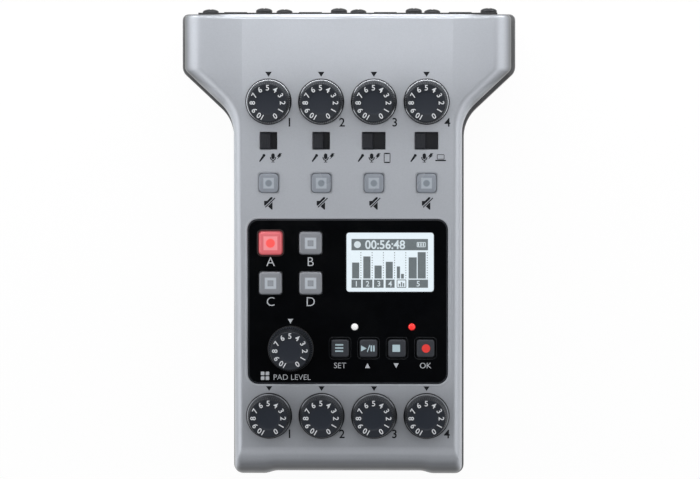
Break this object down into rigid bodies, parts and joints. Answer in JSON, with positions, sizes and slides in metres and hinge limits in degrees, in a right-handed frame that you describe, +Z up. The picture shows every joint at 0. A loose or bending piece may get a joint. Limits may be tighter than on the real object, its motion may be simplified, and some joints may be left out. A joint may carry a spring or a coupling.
{
  "type": "podcast recorder",
  "caption": "Hand-held podcast recorder with a T-shaped case, numbered gain and headphone knobs, input slides, mute keys, sound pads, a lit display and microphone sockets at the wide end.",
  "frame": {"origin": "on the table under the middle of the object's box", "axes": "+Z up, +Y to the wide end with the microphone sockets, +X to the right for someone who faces the controls"},
  "size_m": [0.112, 0.1566, 0.0473],
  "materials": {
    "silver_shell": "fine metallic paint, satin",
    "dark_shell": "fine grain",
    "black_plastic": "satin",
    "window_black": "polished",
    "display": "lit monochrome display under clear glass",
    "knob_grip": "ribbed, soft satin",
    "lever_black": "satin",
    "key_translucent": "milky translucent",
    "pad_lit": "milky translucent, lit red",
    "pad_unlit": "milky translucent, unlit",
    "key_dark": "soft touch",
    "lamp": "clear lens",
    "steel": "bright stamped",
    "screw_black": "black finish",
    "board": "solder mask",
    "component": "moulded",
    "cell_jacket": "printed sleeve",
    "rubber_black": "matte"
  },
  "bodies": {
    "case": {"top_cover": "silver_shell", "bottom_cover": "dark_shell", "rear_panel": "black_plastic", "control_window": "window_black", "display_module": "display", "status_lamps": "lamp", "pot_bodies": "component", "slide_switch_bodies": "component", "key_switches": "component", "main_board": "board", "lower_board": "board", "socket_housings": "black_plastic", "socket_screws": "screw_black", "mini_jacks": "black_plastic", "bus_ports": "steel", "card_socket": "steel", "battery_contacts": "steel", "battery_cells": "cell_jacket", "rubber_feet": "rubber_black", "case_screws": "screw_black"},
    "gain_1": {"gain_knob_1": "knob_grip", "gain_shaft_1": "steel"},
    "gain_2": {"gain_knob_2": "knob_grip", "gain_shaft_2": "steel"},
    "gain_3": {"gain_knob_3": "knob_grip", "gain_shaft_3": "steel"},
    "gain_4": {"gain_knob_4": "knob_grip", "gain_shaft_4": "steel"},
    "phones_1": {"phones_knob_1": "knob_grip", "phones_shaft_1": "steel"},
    "phones_2": {"phones_knob_2": "knob_grip", "phones_shaft_2": "steel"},
    "phones_3": {"phones_knob_3": "knob_grip", "phones_shaft_3": "steel"},
    "phones_4": {"phones_knob_4": "knob_grip", "phones_shaft_4": "steel"},
    "pad_level": {"pad_level_knob": "knob_grip", "pad_level_shaft": "steel"},
    "selector_1": {"selector_lever_1": "lever_black"},
    "selector_2": {"selector_lever_2": "lever_black"},
    "selector_3": {"selector_lever_3": "lever_black"},
    "selector_4": {"selector_lever_4": "lever_black"},
    "mute_key_1_cap": {"mute_key_1": "key_translucent"},
    "mute_key_2_cap": {"mute_key_2": "key_translucent"},
    "mute_key_3_cap": {"mute_key_3": "key_translucent"},
    "mute_key_4_cap": {"mute_key_4": "key_translucent"},
    "sound_pad_a_cap": {"sound_pad_a": "pad_lit"},
    "sound_pad_b_cap": {"sound_pad_b": "pad_unlit"},
    "sound_pad_c_cap": {"sound_pad_c": "pad_unlit"},
    "sound_pad_d_cap": {"sound_pad_d": "pad_unlit"},
    "menu_key_cap": {"menu_key": "key_dark"},
    "play_key_cap": {"play_key": "key_dark"},
    "stop_key_cap": {"stop_key": "key_dark"},
    "record_key_cap": {"record_key": "key_dark"},
    "release_1": {"socket_release_1": "black_plastic"},
    "release_2": {"socket_release_2": "black_plastic"},
    "release_3": {"socket_release_3": "black_plastic"},
    "release_4": {"socket_release_4": "black_plastic"},
    "power": {"power_slide": "lever_black"},
    "battery_lid": {"battery_cover": "dark_shell"}
  },
  "joints": [
    {"name": "gain_1_turn", "type": "hinge", "parent": "case", "child": "gain_1", "pos_m": [-0.02633, 0.04706, 0.03701], "axis": [0, -0.0436, 0.999], "range_deg": [-150, 150]},
    {"name": "gain_2_turn", "type": "hinge", "parent": "case", "child": "gain_2", "pos_m": [-0.00878, 0.04706, 0.03701], "axis": [0, -0.0436, 0.999], "range_deg": [-150, 150]},
    {"name": "gain_3_turn", "type": "hinge", "parent": "case", "child": "gain_3", "pos_m": [0.00878, 0.04706, 0.03701], "axis": [0, -0.0436, 0.999], "range_deg": [-150, 150]},
    {"name": "gain_4_turn", "type": "hinge", "parent": "case", "child": "gain_4", "pos_m": [0.02633, 0.04706, 0.03701], "axis": [0, -0.0436, 0.999], "range_deg": [-150, 150]},
    {"name": "phones_1_turn", "type": "hinge", "parent": "case", "child": "phones_1", "pos_m": [-0.02633, -0.05794, 0.03242], "axis": [0, -0.0436, 0.999], "range_deg": [-150, 150]},
    {"name": "phones_2_turn", "type": "hinge", "parent": "case", "child": "phones_2", "pos_m": [-0.00878, -0.05794, 0.03242], "axis": [0, -0.0436, 0.999], "range_deg": [-150, 150]},
    {"name": "phones_3_turn", "type": "hinge", "parent": "case", "child": "phones_3", "pos_m": [0.00878, -0.05794, 0.03242], "axis": [0, -0.0436, 0.999], "range_deg": [-150, 150]},
    {"name": "phones_4_turn", "type": "hinge", "parent": "case", "child": "phones_4", "pos_m": [0.02633, -0.05794, 0.03242], "axis": [0, -0.0436, 0.999], "range_deg": [-150, 150]},
    {"name": "pad_level_turn", "type": "hinge", "parent": "case", "child": "pad_level", "pos_m": [-0.01906, -0.03546, 0.0334], "axis": [0, -0.0436, 0.999], "range_deg": [-150, 150]},
    {"name": "selector_1_slide", "type": "slide", "parent": "case", "child": "selector_1", "axis": [1, 0, 0], "range_m": [0, 0.0021]},
    {"name": "selector_2_slide", "type": "slide", "parent": "case", "child": "selector_2", "axis": [1, 0, 0], "range_m": [0, 0.0021]},
    {"name": "selector_3_slide", "type": "slide", "parent": "case", "child": "selector_3", "axis": [1, 0, 0], "range_m": [0, 0.0042]},
    {"name": "selector_4_slide", "type": "slide", "parent": "case", "child": "selector_4", "axis": [1, 0, 0], "range_m": [0, 0.0042]},
    {"name": "mute_key_1_cap_slide", "type": "slide", "parent": "case", "child": "mute_key_1_cap", "axis": [0, 0.0436, -0.999], "range_m": [0, 0.0008], "stiffness_N_per_m": 800, "springref_m": -0.0005},
    {"name": "mute_key_2_cap_slide", "type": "slide", "parent": "case", "child": "mute_key_2_cap", "axis": [0, 0.0436, -0.999], "range_m": [0, 0.0008], "stiffness_N_per_m": 800, "springref_m": -0.0005},
    {"name": "mute_key_3_cap_slide", "type": "slide", "parent": "case", "child": "mute_key_3_cap", "axis": [0, 0.0436, -0.999], "range_m": [0, 0.0008], "stiffness_N_per_m": 800, "springref_m": -0.0005},
    {"name": "mute_key_4_cap_slide", "type": "slide", "parent": "case", "child": "mute_key_4_cap", "axis": [0, 0.0436, -0.999], "range_m": [0, 0.0008], "stiffness_N_per_m": 800, "springref_m": -0.0005},
    {"name": "sound_pad_a_cap_slide", "type": "slide", "parent": "case", "child": "sound_pad_a_cap", "axis": [0, 0.0436, -0.999], "range_m": [0, 0.0008], "stiffness_N_per_m": 800, "springref_m": -0.0005},
    {"name": "sound_pad_b_cap_slide", "type": "slide", "parent": "case", "child": "sound_pad_b_cap", "axis": [0, 0.0436, -0.999], "range_m": [0, 0.0008], "stiffness_N_per_m": 800, "springref_m": -0.0005},
    {"name": "sound_pad_c_cap_slide", "type": "slide", "parent": "case", "child": "sound_pad_c_cap", "axis": [0, 0.0436, -0.999], "range_m": [0, 0.0008], "stiffness_N_per_m": 800, "springref_m": -0.0005},
    {"name": "sound_pad_d_cap_slide", "type": "slide", "parent": "case", "child": "sound_pad_d_cap", "axis": [0, 0.0436, -0.999], "range_m": [0, 0.0008], "stiffness_N_per_m": 800, "springref_m": -0.0005},
    {"name": "menu_key_cap_slide", "type": "slide", "parent": "case", "child": "menu_key_cap", "axis": [0, 0.0436, -0.999], "range_m": [0, 0.0008], "stiffness_N_per_m": 800, "springref_m": -0.0005},
    {"name": "play_key_cap_slide", "type": "slide", "parent": "case", "child": "play_key_cap", "axis": [0, 0.0436, -0.999], "range_m": [0, 0.0008], "stiffness_N_per_m": 800, "springref_m": -0.0005},
    {"name": "stop_key_cap_slide", "type": "slide", "parent": "case", "child": "stop_key_cap", "axis": [0, 0.0436, -0.999], "range_m": [0, 0.0008], "stiffness_N_per_m": 800, "springref_m": -0.0005},
    {"name": "record_key_cap_slide", "type": "slide", "parent": "case", "child": "record_key_cap", "axis": [0, 0.0436, -0.999], "range_m": [0, 0.0008], "stiffness_N_per_m": 800, "springref_m": -0.0005},
    {"name": "release_1_slide", "type": "slide", "parent": "case", "child": "release_1", "axis": [0, -1, 0], "range_m": [0, 0.0012], "stiffness_N_per_m": 800, "springref_m": -0.0006},
    {"name": "release_2_slide", "type": "slide", "parent": "case", "child": "release_2", "axis": [0, -1, 0], "range_m": [0, 0.0012], "stiffness_N_per_m": 800, "springref_m": -0.0006},
    {"name": "release_3_slide", "type": "slide", "parent": "case", "child": "release_3", "axis": [0, -1, 0], "range_m": [0, 0.0012], "stiffness_N_per_m": 800, "springref_m": -0.0006},
    {"name": "release_4_slide", "type": "slide", "parent": "case", "child": "release_4", "axis": [0, -1, 0], "range_m": [0, 0.0012], "stiffness_N_per_m": 800, "springref_m": -0.0006},
    {"name": "power_slide", "type": "slide", "parent": "case", "child": "power", "axis": [0, 1, 0], "range_m": [0, 0.003]},
    {"name": "battery_lid_slide", "type": "slide", "parent": "case", "child": "battery_lid", "axis": [0, 0, -1], "range_m": [0, 0.025]}
  ]
}
